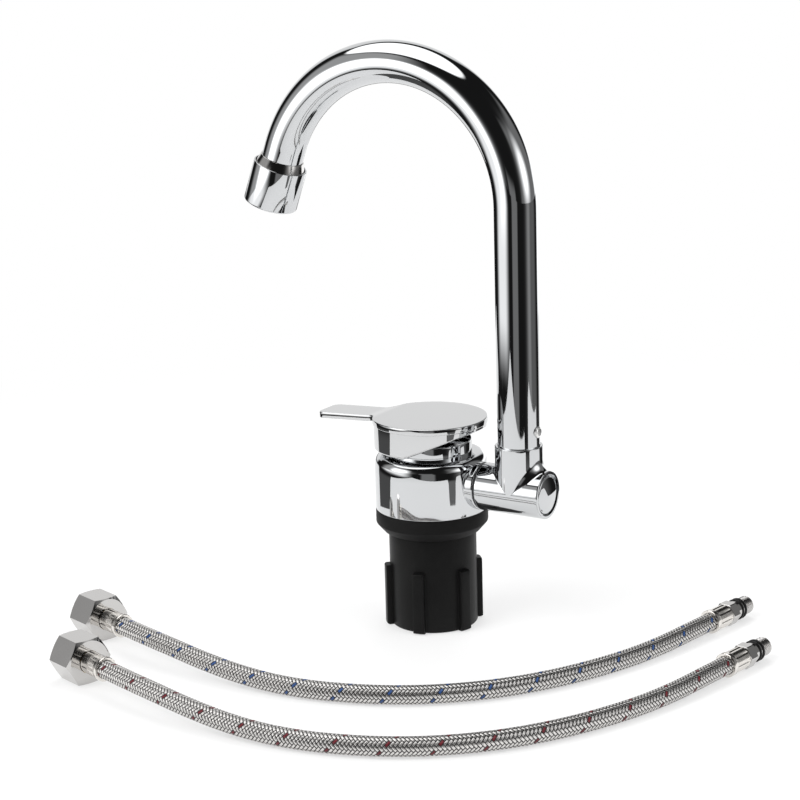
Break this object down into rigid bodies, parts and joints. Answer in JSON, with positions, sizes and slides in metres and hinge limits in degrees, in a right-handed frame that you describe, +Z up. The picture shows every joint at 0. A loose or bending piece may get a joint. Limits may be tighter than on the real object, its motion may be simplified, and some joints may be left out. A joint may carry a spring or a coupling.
{
  "type": "folding caravan tap",
  "caption": "Single-lever mixer tap whose arched swivel spout folds down on a side hinge, with a ribbed clamp nut under the gasket and braided supply hoses lying beside it.",
  "frame": {"origin": "on the tap's axis, in the plane of the worktop: the flat underside of the gasket", "axes": "+Z up out of the worktop; +X along the fold hinge from the body to the hinge's end cap, so the lever's arm and the spout's outlet point to -X; +Y completes the right-handed frame"},
  "size_m": [0.2853, 0.225, 0.259],
  "materials": {
    "chrome": "polished chrome plate",
    "lever_chrome": "polished chrome plate with a fine grain on the top",
    "bright_steel": "bright stainless steel",
    "nickel": "nickel plate",
    "ferrule_steel": "drawn stainless steel",
    "brass": "machined brass",
    "steel": "turned steel",
    "ceramic": "lapped ceramic",
    "cartridge_plastic": "moulded acetal",
    "carrier_plastic": "moulded acetal",
    "aerator_plastic": "moulded acetal",
    "black_plastic": "moulded nylon, slightly satin",
    "washer_plastic": "moulded nylon",
    "gasket_rubber": "moulded rubber",
    "seal_rubber": "smooth nitrile rubber",
    "cold_braid": "stainless wire braid with blue tracer threads",
    "hot_braid": "stainless wire braid with red tracer threads"
  },
  "bodies": {
    "root": {"tap_body": "chrome", "cartridge_cover": "chrome", "cartridge_nut": "brass", "cartridge_housing": "cartridge_plastic", "cartridge_base": "cartridge_plastic", "cartridge_seals": "seal_rubber", "fixed_disc": "ceramic", "base_gasket": "gasket_rubber", "threaded_shank": "black_plastic", "hinge_spindle": "brass", "hinge_seals": "seal_rubber", "hinge_washer": "washer_plastic", "hinge_thrust_washer": "steel", "hinge_circlip": "steel", "cold_hose": "cold_braid", "cold_nut_washer": "seal_rubber", "cold_nut_nipple": "brass", "cold_nut_ferrule": "ferrule_steel", "cold_tail_ferrule": "ferrule_steel", "cold_tail": "nickel", "cold_tail_seals": "seal_rubber", "hot_hose": "hot_braid", "hot_nut_washer": "seal_rubber", "hot_nut_nipple": "brass", "hot_nut_ferrule": "ferrule_steel", "hot_tail_ferrule": "ferrule_steel", "hot_tail": "nickel", "hot_tail_seals": "seal_rubber"},
    "rotor": {"cartridge_rotor": "cartridge_plastic", "stem_pin": "steel"},
    "lever": {"lever": "lever_chrome", "lever_grub_screw": "steel", "lever_plug": "bright_steel", "cartridge_stem": "steel"},
    "disc": {"moving_disc": "ceramic", "disc_carrier": "carrier_plastic"},
    "fold": {"hinge_tee": "chrome", "hinge_end_cap": "chrome"},
    "spout": {"spout_tube": "chrome", "swivel_sleeve": "brass", "swivel_seal": "seal_rubber", "swivel_circlip": "steel", "spout_fixing_screw": "bright_steel", "outlet_ring": "nickel", "aerator_collar": "chrome", "aerator_insert": "aerator_plastic", "aerator_washer": "seal_rubber"},
    "clamp": {"clamp_nut": "black_plastic"},
    "cold_nut": {"cold_union_nut": "nickel"},
    "hot_nut": {"hot_union_nut": "nickel"}
  },
  "joints": [
    {"name": "lever_turn", "type": "hinge", "parent": "root", "child": "rotor", "pos_m": [0, 0, 0.036], "axis": [0, 0, 1], "range_deg": [-50, 50]},
    {"name": "lever_lift", "type": "hinge", "parent": "rotor", "child": "lever", "pos_m": [0, 0, 0.036], "axis": [0, 1, 0], "range_deg": [0, 22]},
    {"name": "disc_slide", "type": "slide", "parent": "rotor", "child": "disc", "axis": [-1, 0, 0], "range_m": [0, 0.0032]},
    {"name": "spout_fold", "type": "hinge", "parent": "root", "child": "fold", "pos_m": [0.0446, 0, 0.0227], "axis": [-1, 0, 0], "range_deg": [0, 90]},
    {"name": "spout_swivel", "type": "hinge", "parent": "fold", "child": "spout", "pos_m": [0.0446, 0, 0.0425], "axis": [0, 0, 1], "continuous": true},
    {"name": "nut_travel", "type": "slide", "parent": "root", "child": "clamp", "axis": [0, 0, 1], "range_m": [-0.025, 0]},
    {"name": "cold_nut_spin", "type": "hinge", "parent": "root", "child": "cold_nut", "pos_m": [-0.11279, -0.08994, -0.0339], "axis": [-0.9533, 0.302, 0], "continuous": true},
    {"name": "hot_nut_spin", "type": "hinge", "parent": "root", "child": "hot_nut", "pos_m": [-0.08601, -0.13451, -0.0339], "axis": [-0.9533, 0.302, 0], "continuous": true}
  ],
  "couplings": [
    {"joint": "disc_slide", "follows": "lever_lift", "m_per_rad": 0.008}
  ]
}
